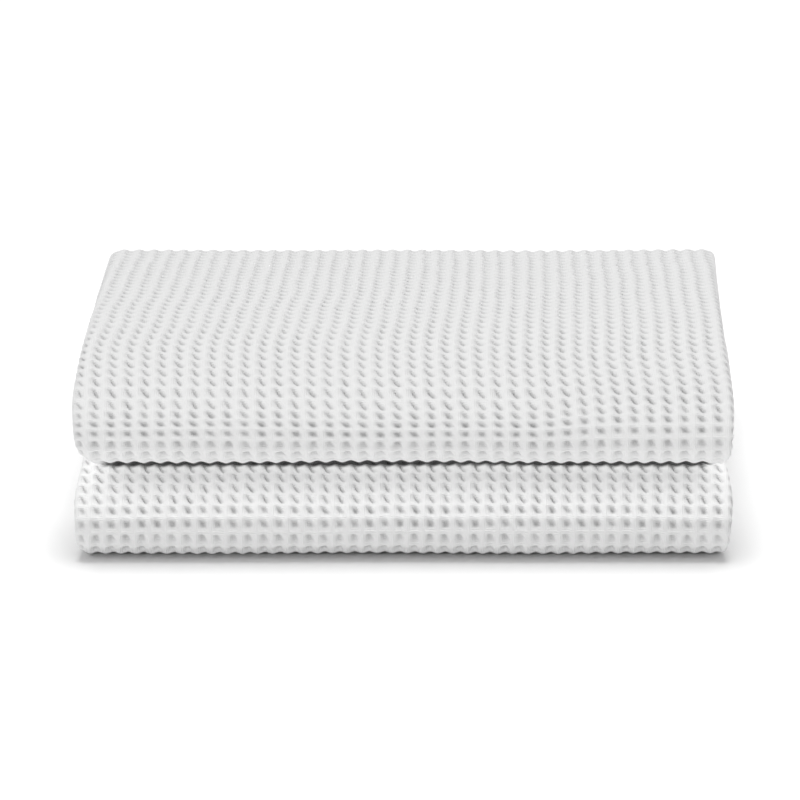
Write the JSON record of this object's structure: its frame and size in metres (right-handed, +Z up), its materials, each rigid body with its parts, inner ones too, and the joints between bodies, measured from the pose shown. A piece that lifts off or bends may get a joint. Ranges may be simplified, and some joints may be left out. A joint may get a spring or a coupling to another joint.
{
  "type": "bath towel",
  "caption": "Waffle-weave bath towel folded into a flat bundle, with round front folds one over the other and one back fold.",
  "frame": {"origin": "middle of the towel's footprint, on the surface it lies on", "axes": "+X along the towel's wide front edge, +Y from the round front folds towards the back fold, +Z up"},
  "size_m": [0.2574, 0.195, 0.0776],
  "materials": {
    "white_cotton": "matte waffle-weave cotton"
  },
  "bodies": {
    "root": {"bath_towel": "white_cotton"}
  },
  "joints": []
}
